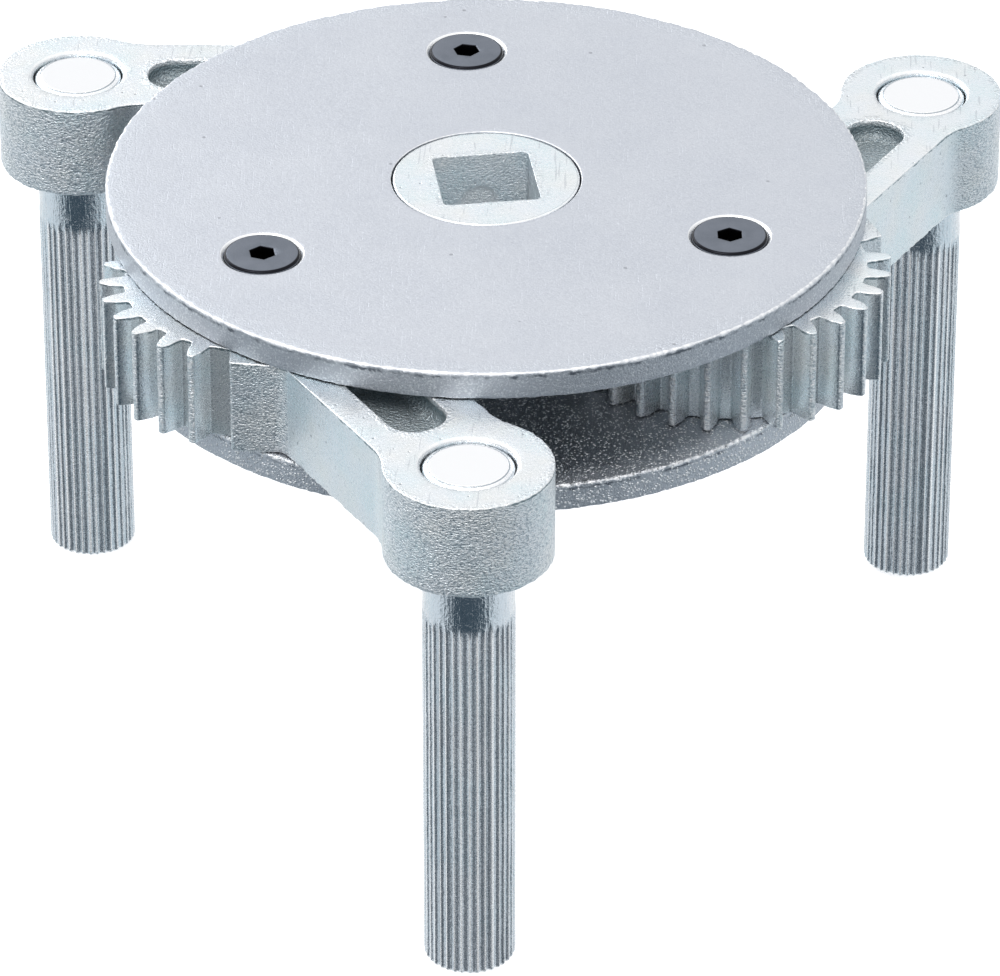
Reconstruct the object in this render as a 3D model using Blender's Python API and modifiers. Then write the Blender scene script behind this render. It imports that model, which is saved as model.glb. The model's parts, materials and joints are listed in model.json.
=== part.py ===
"""Three-leg oil filter wrench: two round plates hold a square-drive sun gear and three geared arms.

Turning the drive hub swings all three arms together, so that the fluted legs under the arm bosses
close on an oil filter standing between them. Lengths are written as millimetres times MM.
"""
import math

import bmesh
import bpy
from mathutils import Vector

MM = 0.001

# Gear train: one sun gear on the hub and one gear on each arm, all of one module.
MODULE = 1.44 * MM
SUN_TEETH = 21
ARM_TEETH = 28
PRESSURE_ANGLE = math.radians(20)
PROFILE_SHIFT = 0.2          # of the sun, in modules; the arm gears have the opposite shift
ROOT_CLEARANCE = 0.25        # in modules
BACKLASH = 0.6 * MM          # taken half from each tooth of a pair
FLANK_STEPS = 3

# Plates
PLATE_R = 50.35 * MM
PLATE_T = 3.75 * MM
PLATE_EDGE = 0.5 * MM
GEAR_SPACE = 13.45 * MM      # between the plates' inner faces
SEAT_GAP = 0.15 * MM         # between faces that lie on each other
ROUND_GAP = 0.15 * MM        # between a shaft and its hole

# Hub
JOURNAL_R = 12.45 * MM
JOURNAL_CHAMFER = 0.35 * MM
HUB_HOLE_CHAMFER = 0.3 * MM
SQUARE = 12.9 * MM
SQUARE_CORNER = 0.8 * MM
SQUARE_TURN = math.radians(10.3)
DETENT_R = 2.5 * MM
DETENT_DEPTH = 0.9 * MM
DETENT_DOWN = 7.3 * MM

# Arms, in a frame on the pivot with +X towards the leg
ARM_REACH = 53.1 * MM
ARM_SWING = math.radians(85.4)
# The play between the teeth lets each arm rest a little to one side of its mean position.
ARM_PLAY = [math.radians(angle) for angle in (-0.7, 0.7, -0.7)]
FIRST_PIVOT = math.radians(97.0)
NECK_HALF = 8.5 * MM
BOSS_R = 10.95 * MM
BOSS_FILLET = 8.0 * MM
LAND_ANGLE = math.radians(40.6)
LAND_R = 21.5 * MM
LAND_END_X = 20.6 * MM
LAND_FILLET = 2.5 * MM
TOOTH_PHASE = math.radians(-42.3)
SECTOR_TEETH = 21            # teeth that the arm's gear keeps
POCKET_START_X = 26.0 * MM
POCKET_END_X = 43.5 * MM
POCKET_HALF = 4.0 * MM
POCKET_CORNER = 3.75 * MM
POCKET_DEPTH = 2.7 * MM
PIN_HOLE_CHAMFER = 0.6 * MM

# Legs
LEG_R = 5.95 * MM
LEG_BOTTOM = -78.1 * MM      # below the upper plate's top face
LEG_NECK = 7.6 * MM
PIN_JOURNAL_R = 5.85 * MM
PIN_RECESS = 0.25 * MM
PIN_CHAMFER = 0.8 * MM
FLUTES = 36
FLUTE_DEPTH = 0.32 * MM
FLUTE_RUNOUT = 1.4 * MM
FOOT_CHAMFER = 0.5 * MM

# Posts and screws
POST_R = 5.5 * MM
SCREW_HEAD_R = 5.08 * MM
SCREW_EDGE = 0.35 * MM       # rounding of the head's top edge
SCREW_LAND = 0.1 * MM        # straight side between that rounding and the cone
SCREW_PROUD = 0.3 * MM
SHANK_R = 2.4 * MM
SHANK_LENGTH = 9.4 * MM
TAPPED_R = 2.55 * MM
SINK_R = 5.42 * MM           # countersink's radius at the plate's face
HEX_ACROSS_FLATS = 3.05 * MM
HEX_DEPTH = 2.2 * MM

ROUND_STEPS = 32
SMALL_STEPS = 24
PLATE_STEPS = 72

# Worked out from the above. Height zero in the hub's frame is the upper plate's top face.
PIVOT_R = MODULE * (SUN_TEETH + ARM_TEETH) / 2
UPPER_INNER = -PLATE_T
LOWER_INNER = UPPER_INNER - GEAR_SPACE
LOWER_OUTER = LOWER_INNER - PLATE_T
GEAR_TOP = UPPER_INNER - SEAT_GAP
GEAR_BOTTOM = LOWER_INNER + SEAT_GAP
ARM_TIP_R = MODULE * (ARM_TEETH / 2 + 1 - PROFILE_SHIFT)
FRONT_PIVOT = FIRST_PIVOT + math.tau / 3
FRONT_ARM = FRONT_PIVOT + ARM_SWING + ARM_PLAY[1]
# The front leg's boss reaches further from the hub's axis than the teeth of the back arm do, so
# the axis stands this far behind the middle of the footprint.
FRONT_REACH = BOSS_R - PIVOT_R * math.sin(FRONT_PIVOT) - ARM_REACH * math.sin(FRONT_ARM)
BACK_REACH = PIVOT_R * math.sin(FIRST_PIVOT) + ARM_TIP_R
AXIS_Y = (FRONT_REACH - BACK_REACH) / 2

COLOURS = {
    "plate": ((0.60, 0.62, 0.65), 0.42, 1.0),
    "zinc": ((0.66, 0.69, 0.70), 0.36, 1.0),
    "leg": ((0.58, 0.62, 0.64), 0.32, 1.0),
    "post": ((0.50, 0.51, 0.52), 0.35, 1.0),
    "screw": ((0.05, 0.05, 0.06), 0.35, 1.0),
}


# ---------------------------------------------------------------- scene and materials

def clear_scene():
    for obj in list(bpy.data.objects):
        bpy.data.objects.remove(obj, do_unlink=True)


def new_collection(name):
    collection = bpy.data.collections.new(name)
    bpy.context.scene.collection.children.link(collection)
    return collection


def move_to(obj, collection):
    for other in list(obj.users_collection):
        other.objects.unlink(obj)
    collection.objects.link(obj)


def paint(obj, finish):
    colour, roughness, metallic = COLOURS[finish]
    material = bpy.data.materials.new(obj.name)
    material.use_nodes = True
    shader = material.node_tree.nodes["Principled BSDF"]
    shader.inputs["Base Color"].default_value = (*colour, 1)
    shader.inputs["Roughness"].default_value = roughness
    shader.inputs["Metallic"].default_value = metallic
    obj.data.materials.clear()
    obj.data.materials.append(material)


# ---------------------------------------------------------------- shape helpers

def as_mesh(obj, name):
    """A mesh copy of an object as its modifiers leave it, which takes its place."""
    graph = bpy.context.evaluated_depsgraph_get()
    mesh = bpy.data.meshes.new_from_object(obj.evaluated_get(graph))
    work = bmesh.new()
    work.from_mesh(mesh)
    bmesh.ops.remove_doubles(work, verts=work.verts, dist=0.0005 * MM)
    bmesh.ops.recalc_face_normals(work, faces=work.faces)
    work.to_mesh(mesh)
    work.free()
    place = obj.matrix_world.copy()
    bpy.data.objects.remove(obj, do_unlink=True)
    solid = bpy.data.objects.new(name, mesh)
    solid.matrix_world = place
    bpy.context.scene.collection.objects.link(solid)
    return solid


def turned(name, profile, steps=ROUND_STEPS):
    """A body turned about Z from (radius, height) points, top to bottom on the outer side."""
    mesh = bpy.data.meshes.new(name)
    points = [(radius, 0, height) for radius, height in profile]
    edges = [(i, (i + 1) % len(points)) for i in range(len(points))]
    if profile[0][0] == 0:
        edges.pop()
    mesh.from_pydata(points, edges, [])
    obj = bpy.data.objects.new(name, mesh)
    bpy.context.scene.collection.objects.link(obj)
    screw = obj.modifiers.new("turn", "SCREW")
    screw.steps = steps
    screw.render_steps = steps
    screw.use_merge_vertices = True
    screw.merge_threshold = 0.0005 * MM
    return as_mesh(obj, name)


def prism(name, outline, low, high):
    """A flat outline drawn as a curve and extruded between two heights."""
    curve = bpy.data.curves.new(name, "CURVE")
    curve.dimensions = "2D"
    curve.fill_mode = "BOTH"
    curve.extrude = (high - low) / 2
    spline = curve.splines.new("POLY")
    spline.points.add(len(outline) - 1)
    for point, (x, y) in zip(spline.points, outline):
        point.co = (x, y, 0, 1)
    spline.use_cyclic_u = True
    obj = bpy.data.objects.new(name, curve)
    bpy.context.scene.collection.objects.link(obj)
    obj.location.z = (high + low) / 2
    bpy.context.view_layer.update()
    return as_mesh(obj, name)


def boolean(obj, other, operation):
    modifier = obj.modifiers.new(operation.lower(), "BOOLEAN")
    modifier.operation = operation
    modifier.object = other
    other.hide_render = True
    other.display_type = "WIRE"
    move_to(other, cutters)


def cut(obj, other):
    boolean(obj, other, "DIFFERENCE")


def arc(centre, radius, start, end, steps):
    """Points on an arc about centre, from one angle to another, both ends included."""
    angles = [start + (end - start) * i / steps for i in range(steps + 1)]
    return [(centre[0] + radius * math.cos(a), centre[1] + radius * math.sin(a)) for a in angles]


def polar(radius, angle):
    return (radius * math.cos(angle), radius * math.sin(angle))


def rounded_box_outline(half_x, half_y, corner, steps, centre_x=0.0):
    """A rectangle with round corners, counter-clockwise."""
    points = []
    for quarter in range(4):
        sign_x = 1 if quarter in (0, 3) else -1
        sign_y = 1 if quarter in (0, 1) else -1
        centre = (centre_x + sign_x * (half_x - corner), sign_y * (half_y - corner))
        start = quarter * math.pi / 2
        points += arc(centre, corner, start, start + math.pi / 2, steps)
    return points


# ---------------------------------------------------------------- gear teeth

def involute(angle):
    return math.tan(angle) - angle


def tooth(teeth, shift):
    """One tooth about angle zero as (radius, angle) points, from its right root to its left one."""
    pitch_r = MODULE * teeth / 2
    base_r = pitch_r * math.cos(PRESSURE_ANGLE)
    tip_r = pitch_r + (1 + shift) * MODULE
    root_r = pitch_r - (1 + ROOT_CLEARANCE - shift) * MODULE
    thickness = MODULE * (math.pi / 2 + 2 * shift * math.tan(PRESSURE_ANGLE)) - BACKLASH / 2
    half = thickness / (2 * pitch_r) + involute(PRESSURE_ANGLE)

    right = [(root_r, -half - 0.012)]
    for i in range(FLANK_STEPS + 1):
        radius = base_r + (tip_r - base_r) * i / FLANK_STEPS
        right.append((radius, involute(math.acos(base_r / radius)) - half))
    left = [(radius, -angle) for radius, angle in reversed(right)]
    return right + left


def teeth_outline(teeth, shift, first, count):
    """Points of some neighbouring teeth, counter-clockwise, the first one centred on an angle."""
    points = []
    for i in range(count):
        centre = first + i * 2 * math.pi / teeth
        points += [polar(radius, centre + angle) for radius, angle in tooth(teeth, shift)]
    return points


def sun_phase():
    """The angle of a sun tooth that meshes with the arm on the first pivot."""
    pitch = 2 * math.pi / ARM_TEETH
    mesh_direction = math.pi - ARM_SWING
    offset = (TOOTH_PHASE - mesh_direction) % pitch
    along = MODULE * math.pi / 2 - offset * MODULE * ARM_TEETH / 2
    return FIRST_PIVOT + along / (MODULE * SUN_TEETH / 2)


# ---------------------------------------------------------------- arm outline

def fillet(before, corner, after, radius, steps):
    """The corner of a path replaced by an arc that touches both of its sides."""
    back = (Vector(before) - Vector(corner)).normalized()
    ahead = (Vector(after) - Vector(corner)).normalized()
    half = back.angle(ahead) / 2
    centre = Vector(corner) + (back + ahead).normalized() * radius / math.sin(half)
    touch = [Vector(corner) + side * radius / math.tan(half) for side in (back, ahead)]
    start, end = [math.atan2(*(point - centre).yx) for point in touch]
    turn = (end - start + math.pi) % (2 * math.pi) - math.pi
    return arc(centre, radius, start, start + turn, steps)


def arm_side():
    """The arm's side at +Y, from the boss's outer end back to the gear's root."""
    drop = NECK_HALF + BOSS_FILLET
    run = math.sqrt((BOSS_R + BOSS_FILLET) ** 2 - drop**2)
    lean = math.atan2(drop, -run)
    points = arc((ARM_REACH, 0), BOSS_R, 0, lean, 12)
    points += arc((ARM_REACH - run, drop), BOSS_FILLET, lean - math.pi, -math.pi / 2, 4)[1:]

    land_start = polar(LAND_R, LAND_ANGLE)
    land_end = (LAND_END_X, NECK_HALF)
    points += fillet((ARM_REACH, NECK_HALF), land_end, land_start, LAND_FILLET, 4)
    root_r = MODULE * ARM_TEETH / 2 - (1 + ROOT_CLEARANCE + PROFILE_SHIFT) * MODULE
    points += [land_start, polar(root_r, LAND_ANGLE + math.radians(1.6))]
    return points


def arm_outline():
    upper = arm_side()
    lower = [(x, -y) for x, y in reversed(upper[1:])]
    first = TOOTH_PHASE - SECTOR_TEETH * math.tau / ARM_TEETH
    teeth = teeth_outline(ARM_TEETH, -PROFILE_SHIFT, first, SECTOR_TEETH)
    return upper + teeth + lower


# ---------------------------------------------------------------- the pieces

def make_plate(name, outer, inner):
    """A round plate between two heights; its outer face takes the screw heads."""
    up = 1 if outer > inner else -1
    hole = JOURNAL_R + ROUND_GAP
    edge = PLATE_EDGE
    rim = [(PLATE_R - edge, outer), (PLATE_R, outer - up * edge)]
    rim += [(PLATE_R, inner + up * edge), (PLATE_R - edge, inner)]
    bore = [(hole, inner), (hole, outer - up * HUB_HOLE_CHAMFER), (hole + HUB_HOLE_CHAMFER, outer)]
    profile = rim + bore
    if up < 0:
        profile.reverse()
    plate = turned(name, profile, PLATE_STEPS)

    through = SHANK_R + ROUND_GAP
    for i in range(3):
        sink = [
            (0, outer + up * 0.5 * MM),
            (SINK_R + 0.5 * MM, outer + up * 0.5 * MM),
            (through, outer - up * (SINK_R - through)),
            (through, inner - up * MM),
            (0, inner - up * MM),
        ]
        if up < 0:
            sink.reverse()
        cutter = turned(f"{name}_sink_{i + 1}", sink, SMALL_STEPS)
        cutter.parent = axis
        cutter.location = (*polar(PIVOT_R, FIRST_PIVOT + i * math.tau / 3), 0)
        cut(plate, cutter)
    plate.parent = axis
    paint(plate, "plate")
    return plate


def make_hub():
    """Sun gear between two journals, with a square socket right through."""
    teeth = teeth_outline(SUN_TEETH, PROFILE_SHIFT, sun_phase(), SUN_TEETH)
    hub = prism("drive_hub", teeth, GEAR_BOTTOM, GEAR_TOP)
    c = JOURNAL_CHAMFER
    core = turned("hub_core", [
        (0, 0), (JOURNAL_R - c, 0), (JOURNAL_R, -c),
        (JOURNAL_R, LOWER_OUTER + c), (JOURNAL_R - c, LOWER_OUTER), (0, LOWER_OUTER),
    ], 2 * SMALL_STEPS)
    core.parent = axis
    boolean(hub, core, "UNION")

    half = SQUARE / 2
    square = prism("hub_square", rounded_box_outline(half, half, SQUARE_CORNER, 2),
                   LOWER_OUTER - MM, MM)
    square.rotation_euler.z = SQUARE_TURN
    square.parent = axis
    cut(hub, square)

    for i in range(4):
        bpy.ops.mesh.primitive_uv_sphere_add(segments=16, ring_count=8, radius=1)
        ball = bpy.context.object
        ball.name = f"hub_detent_{i + 1}"
        ball_r = (DETENT_R**2 + DETENT_DEPTH**2) / (2 * DETENT_DEPTH)
        ball.data.transform(ball.matrix_world.Scale(ball_r, 4))
        direction = SQUARE_TURN + i * math.pi / 2
        ball.location = (*polar(half + DETENT_DEPTH - ball_r, direction), -DETENT_DOWN)
        ball.parent = axis
        cut(hub, ball)
    hub.parent = axis
    paint(hub, "zinc")


def make_pocket(name, low, high):
    middle = (POCKET_START_X + POCKET_END_X) / 2
    half_x = (POCKET_END_X - POCKET_START_X) / 2
    outline = rounded_box_outline(half_x, POCKET_HALF, POCKET_CORNER, 4, middle)
    return prism(name, outline, low, high)


def make_arm(i):
    """Geared arm with its bore on the joint's axis, swung to its rest angle."""
    arm = prism(f"gear_arm_{i + 1}", arm_outline(), GEAR_BOTTOM, GEAR_TOP)
    bore_r = POST_R + ROUND_GAP
    bore = turned(f"{arm.name}_bore", [
        (0, GEAR_TOP + MM), (bore_r, GEAR_TOP + MM), (bore_r, GEAR_BOTTOM - MM), (0, GEAR_BOTTOM - MM),
    ])
    hole_r = LEG_R + ROUND_GAP
    top_r = hole_r + PIN_HOLE_CHAMFER
    hole = turned(f"{arm.name}_pin_hole", [
        (0, GEAR_TOP + MM), (top_r, GEAR_TOP + MM), (top_r, GEAR_TOP),
        (hole_r, GEAR_TOP - PIN_HOLE_CHAMFER), (hole_r, GEAR_BOTTOM - MM), (0, GEAR_BOTTOM - MM),
    ])
    hole.location.x = ARM_REACH
    upper = make_pocket(f"{arm.name}_pocket_upper", GEAR_TOP - POCKET_DEPTH, GEAR_TOP + MM)
    lower = make_pocket(f"{arm.name}_pocket_lower", GEAR_BOTTOM - MM, GEAR_BOTTOM + POCKET_DEPTH)

    for cutter in (bore, hole, upper, lower):
        cutter.parent = pivots[i]
        cut(arm, cutter)
    arm.parent = pivots[i]
    paint(arm, "zinc")


def make_leg(i):
    """Leg with a plain neck, straight flutes below it and a pin that fills the boss's hole."""
    pin_top = GEAR_TOP - PIN_RECESS
    neck_top = GEAR_BOTTOM - SEAT_GAP
    flute_top = neck_top - LEG_NECK
    c = FOOT_CHAMFER
    leg = turned(f"leg_pin_{i + 1}", [
        (0, pin_top), (PIN_JOURNAL_R - PIN_CHAMFER, pin_top),
        (PIN_JOURNAL_R, pin_top - PIN_CHAMFER / 2), (PIN_JOURNAL_R, neck_top), (LEG_R, neck_top),
        (LEG_R, flute_top), (LEG_R, flute_top - FLUTE_RUNOUT),
        (LEG_R, LEG_BOTTOM + c), (LEG_R - c, LEG_BOTTOM), (0, LEG_BOTTOM),
    ], 2 * FLUTES)
    for vertex in leg.data.vertices:
        radius = math.hypot(vertex.co.x, vertex.co.y)
        turn = math.atan2(vertex.co.y, vertex.co.x) * FLUTES / math.pi
        if radius > LEG_R - c - 0.01 * MM and vertex.co.z < flute_top - MM / 2 and round(turn) % 2:
            scale = (radius - FLUTE_DEPTH) / radius
            vertex.co.x *= scale
            vertex.co.y *= scale
    leg.location.x = ARM_REACH
    leg.parent = pivots[i]
    paint(leg, "leg")


def make_post(i):
    """Spacer between the plates, tapped right through for both of its screws."""
    top = UPPER_INNER - SEAT_GAP / 2
    bottom = LOWER_INNER + SEAT_GAP / 2
    post = turned(f"pivot_post_{i + 1}", [
        (POST_R - 0.3 * MM, top), (POST_R, top - 0.3 * MM),
        (POST_R, bottom + 0.3 * MM), (POST_R - 0.3 * MM, bottom),
        (TAPPED_R, bottom), (TAPPED_R, top),
    ], SMALL_STEPS)
    post.parent = fixed_pivots[i]
    paint(post, "post")


def make_screw(name, i, outer, up):
    """Countersunk screw with a hexagon socket; up is +1 in the upper plate and -1 in the lower."""
    head = SCREW_HEAD_R
    edge = SCREW_EDGE
    face = SCREW_PROUD
    rim = face - edge
    land = rim - SCREW_LAND
    profile = [
        (0, face), (head - edge, face), (head - edge * 0.3, face - edge * 0.3), (head, rim),
        (head, land), (SHANK_R, land - (head - SHANK_R)),
        (SHANK_R, land - SHANK_LENGTH + 3 * MM), (SHANK_R - 0.4 * MM, land - SHANK_LENGTH + 2.6 * MM),
        (0, land - SHANK_LENGTH + 2.6 * MM),
    ]
    screw = turned(name, profile, SMALL_STEPS)
    bpy.ops.mesh.primitive_cylinder_add(
        vertices=6, radius=HEX_ACROSS_FLATS / math.sqrt(3), depth=2 * HEX_DEPTH)
    socket = bpy.context.object
    socket.name = f"{name}_socket"
    for obj in (screw, socket):
        obj.parent = fixed_pivots[i]
        obj.location.z = outer
        obj.rotation_euler.x = 0 if up > 0 else math.pi
    cut(screw, socket)
    paint(screw, "screw")


# ---------------------------------------------------------------- assembly

clear_scene()
parts = new_collection("oil_filter_wrench")
cutters = new_collection("cutters")

axis = bpy.data.objects.new("hub_axis", None)
axis.location = (0, AXIS_Y, -LEG_BOTTOM)
parts.objects.link(axis)
pivots = []
fixed_pivots = []
for k in range(3):
    place = polar(PIVOT_R, FIRST_PIVOT + k * math.tau / 3)
    fixed = bpy.data.objects.new(f"post_axis_{k + 1}", None)
    swinging = bpy.data.objects.new(f"arm_axis_{k + 1}", None)
    swinging.rotation_euler.z = FIRST_PIVOT + k * math.tau / 3 + ARM_SWING + ARM_PLAY[k]
    for empty, group in ((fixed, fixed_pivots), (swinging, pivots)):
        empty.location = (*place, 0)
        empty.parent = axis
        parts.objects.link(empty)
        group.append(empty)

make_plate("top_plate", 0, UPPER_INNER)
make_plate("bottom_plate", LOWER_OUTER, LOWER_INNER)
make_hub()
for k in range(3):
    make_arm(k)
    make_leg(k)
    make_post(k)
    make_screw(f"top_screw_{k + 1}", k, 0, 1)
    make_screw(f"bottom_screw_{k + 1}", k, LOWER_OUTER, -1)

for piece in list(bpy.context.scene.collection.objects):
    move_to(piece, parts)
for piece in parts.objects:
    if piece.type == "MESH":
        piece.data.shade_smooth()
        piece.data.set_sharp_from_angle(angle=math.radians(35))
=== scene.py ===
"""The looks of a three-leg oil filter wrench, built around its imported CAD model.

Every visible piece is made again here as a dense mesh with worn edges, a forged or machined skin and a
procedural metal, in the place that the frame gives. Lengths are metres, written as millimetres times MM.
"""
import json
import math

import bmesh
import bpy
import numpy as np
from mathutils import Matrix, Vector, geometry, noise


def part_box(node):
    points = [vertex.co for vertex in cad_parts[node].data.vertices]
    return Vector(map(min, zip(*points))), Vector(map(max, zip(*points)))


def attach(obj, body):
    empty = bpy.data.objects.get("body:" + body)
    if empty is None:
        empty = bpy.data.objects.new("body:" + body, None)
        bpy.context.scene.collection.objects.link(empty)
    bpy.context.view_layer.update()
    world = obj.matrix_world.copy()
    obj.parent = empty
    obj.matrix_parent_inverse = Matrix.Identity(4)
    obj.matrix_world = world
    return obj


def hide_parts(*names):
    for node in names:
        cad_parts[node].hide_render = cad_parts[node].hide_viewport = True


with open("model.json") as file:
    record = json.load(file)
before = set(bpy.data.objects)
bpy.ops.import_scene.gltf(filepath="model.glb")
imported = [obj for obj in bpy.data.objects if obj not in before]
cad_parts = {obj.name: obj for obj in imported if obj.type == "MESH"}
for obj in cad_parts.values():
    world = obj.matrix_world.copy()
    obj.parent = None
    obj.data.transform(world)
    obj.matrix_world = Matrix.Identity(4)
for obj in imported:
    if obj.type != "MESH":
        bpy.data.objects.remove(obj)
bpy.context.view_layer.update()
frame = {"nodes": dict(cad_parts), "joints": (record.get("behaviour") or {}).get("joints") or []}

MM = 0.001

# Gears, as in the CAD model
MODULE = 1.44 * MM
SUN_TEETH = 21
ARM_TEETH = 28
PRESSURE_ANGLE = math.radians(20)
PROFILE_SHIFT = 0.2
ROOT_CLEARANCE = 0.25
BACKLASH = 0.6 * MM
TOOTH_PHASE = math.radians(-42.3)
SECTOR_TEETH = 21
ARM_SWING = math.radians(85.4)
TIP_ROUND = 0.22 * MM
ROOT_ROUND = 0.35 * MM
TIP_R = MODULE * (ARM_TEETH / 2 + 1 - PROFILE_SHIFT)
TOOTH_DEPTH = (2 + ROOT_CLEARANCE) * MODULE

# Arm outline, on the pivot with +X towards the leg
NECK_HALF = 8.5 * MM
BOSS_R = 10.95 * MM
BOSS_FILLET = 8.0 * MM
LAND_ANGLE = math.radians(40.6)
LAND_R = 21.5 * MM
LAND_END_X = 20.6 * MM
LAND_FILLET = 2.5 * MM
LAND_CORNER = 0.35 * MM
LAND_TO_ROOT = math.radians(1.6)
BORE_R = 5.65 * MM
PIN_HOLE_R = 6.1 * MM
PIN_HOLE_CHAMFER = 0.6 * MM
POCKET_START_X = 26.0 * MM
POCKET_END_X = 43.5 * MM
POCKET_HALF = 4.0 * MM
POCKET_CORNER = 3.75 * MM
POCKET_DEPTH = 2.7 * MM
POCKET_FLOOR_ROUND = 1.3 * MM
POCKET_LIP = 0.15 * MM
POCKET_WALL_INSET = 0.1 * MM    # of the foot of the wall, as the walls lean a little
POCKET_ROUGH = 0.9
ARM_EDGE = 0.11 * MM
ARM_LOWER_EDGE = 0.5 * MM

# Hub
JOURNAL_R = 12.4 * MM
JOURNAL_CHAMFER = 0.34 * MM
SQUARE = 12.9 * MM
SQUARE_CORNER = 0.8 * MM
SQUARE_TURN = math.radians(10.3)
DETENT_R = 2.5 * MM
DETENT_DEPTH = 0.5 * MM
DETENT_DOWN = 7.3 * MM

# Plates
HUB_HOLE_R = 12.62 * MM
HUB_HOLE_CHAMFER = 0.12 * MM
PLATE_EDGE = 0.36 * MM
SINK_R = 5.46 * MM
THROUGH_R = 2.55 * MM

# Legs
LEG_R = 5.95 * MM            # over the ridges between the flutes
LEG_NECK_R = 5.88 * MM
SEAT_GAP = 0.15 * MM         # between an arm and the leg's shoulder under it
LEG_NECK = 7.6 * MM
PIN_JOURNAL_R = 5.85 * MM
PIN_CHAMFER = 0.8 * MM
FOOT_CHAMFER = 0.5 * MM
FLUTES = 36
FLUTE_DEPTH = 0.34 * MM
FLUTE_POINTS = 10
FLUTE_RUN_OUT = 2.4 * MM
NECK_ROWS = 10
RUN_OUT_ROWS = 21
SHANK_ROWS = 42

# Screws
SCREW_HEAD_R = 5.0 * MM
SCREW_EDGE = 0.42 * MM
SCREW_PROUD = 0.16 * MM
SHANK_R = 2.4 * MM
SHANK_LENGTH = 6.4 * MM
HEX_ACROSS_FLATS = 3.05 * MM
HEX_DEPTH = 2.2 * MM
HEX_LIP = 0.12 * MM
SCREW_POINTS = 96

# Relief of the grain, share of grit, whose grains are also painted as glints, and coarseness of the rim
TOP_FINISH = (0.048 * MM, 0.0, 1.0)
BOTTOM_FINISH_AND_GLINTS = (0.27 * MM, 0.8, 0.5)
RIM_RELIEF = 0.16 * MM

SPACING = 0.3 * MM           # of points along an outline
ROW = 0.42 * MM              # of rows up a wall
EDGE_STEPS = 4               # in a rounded edge
TRIANGLE_ROW = 0.866         # height of an equilateral triangle's row, for a side of 1
MARGINS = (0.4 * MM, 1.3 * MM)   # of the rings that ease a plate's faces into their edges
HUB_MARGIN = 0.1 * MM

# Spacing of the points inside flat faces
PLATE_GRID = 2.2 * MM
ARM_GRID = 1.1 * MM
HUB_GRID = 1.2 * MM
GEAR_GRID = 1.5 * MM
LEG_GRID = 0.9 * MM
SCREW_GRID = 0.8 * MM


# ---------------------------------------------------------------- outlines

def polar(radius, angle):
    return (radius * math.cos(angle), radius * math.sin(angle))


def arc(centre, radius, start, end):
    """Points on an arc about centre, both ends included, no further apart than the spacing."""
    steps = max(2, math.ceil(abs(end - start) * radius / SPACING))
    angles = [start + (end - start) * i / steps for i in range(steps + 1)]
    return [(centre[0] + radius * math.cos(a), centre[1] + radius * math.sin(a)) for a in angles]


def circle(radius, centre=(0.0, 0.0), points=None):
    count = points or math.ceil(math.tau * radius / SPACING)
    angles = np.arange(count) * math.tau / count
    return np.stack([centre[0] + radius * np.cos(angles), centre[1] + radius * np.sin(angles)], 1)


def fillet(before, corner, after, radius):
    """The corner of a path replaced by an arc that touches both of its sides."""
    back = (Vector(before) - Vector(corner)).normalized()
    ahead = (Vector(after) - Vector(corner)).normalized()
    half = back.angle(ahead) / 2
    centre = Vector(corner) + (back + ahead).normalized() * radius / math.sin(half)
    touch = [Vector(corner) + side * radius / math.tan(half) for side in (back, ahead)]
    start, end = [math.atan2(*(point - centre).yx) for point in touch]
    turn = (end - start + math.pi) % math.tau - math.pi
    return arc(centre, radius, start, start + turn)


def refined(points):
    """A closed path with its long sides divided."""
    made = []
    for here, there in zip(points, points[1:] + points[:1]):
        here, there = Vector(here), Vector(there)
        steps = max(1, math.ceil((there - here).length / SPACING))
        made += [here.lerp(there, i / steps) for i in range(steps)]
    return np.array([point[:] for point in made])


def rounded_box(half_x, half_y, corner, centre_x=0.0):
    points = []
    for quarter in range(4):
        sign_x = 1 if quarter in (0, 3) else -1
        sign_y = 1 if quarter in (0, 1) else -1
        centre = (centre_x + sign_x * (half_x - corner), sign_y * (half_y - corner))
        points += arc(centre, corner, quarter * math.pi / 2, (quarter + 1) * math.pi / 2)
    return refined(points)


def turned_by(points, angle):
    c, s = math.cos(angle), math.sin(angle)
    return points @ np.array([[c, s], [-s, c]])


def outward(points):
    """Mitred outward normals of a closed counter-clockwise path."""
    ahead = np.roll(points, -1, 0) - points
    ahead /= np.linalg.norm(ahead, axis=1, keepdims=True)
    sides = np.stack([ahead[:, 1], -ahead[:, 0]], 1)
    joint = sides + np.roll(sides, 1, 0)
    joint /= np.linalg.norm(joint, axis=1, keepdims=True)
    return joint / (joint * sides).sum(1, keepdims=True)


# ---------------------------------------------------------------- gear teeth

def involute(angle):
    return math.tan(angle) - angle


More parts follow.
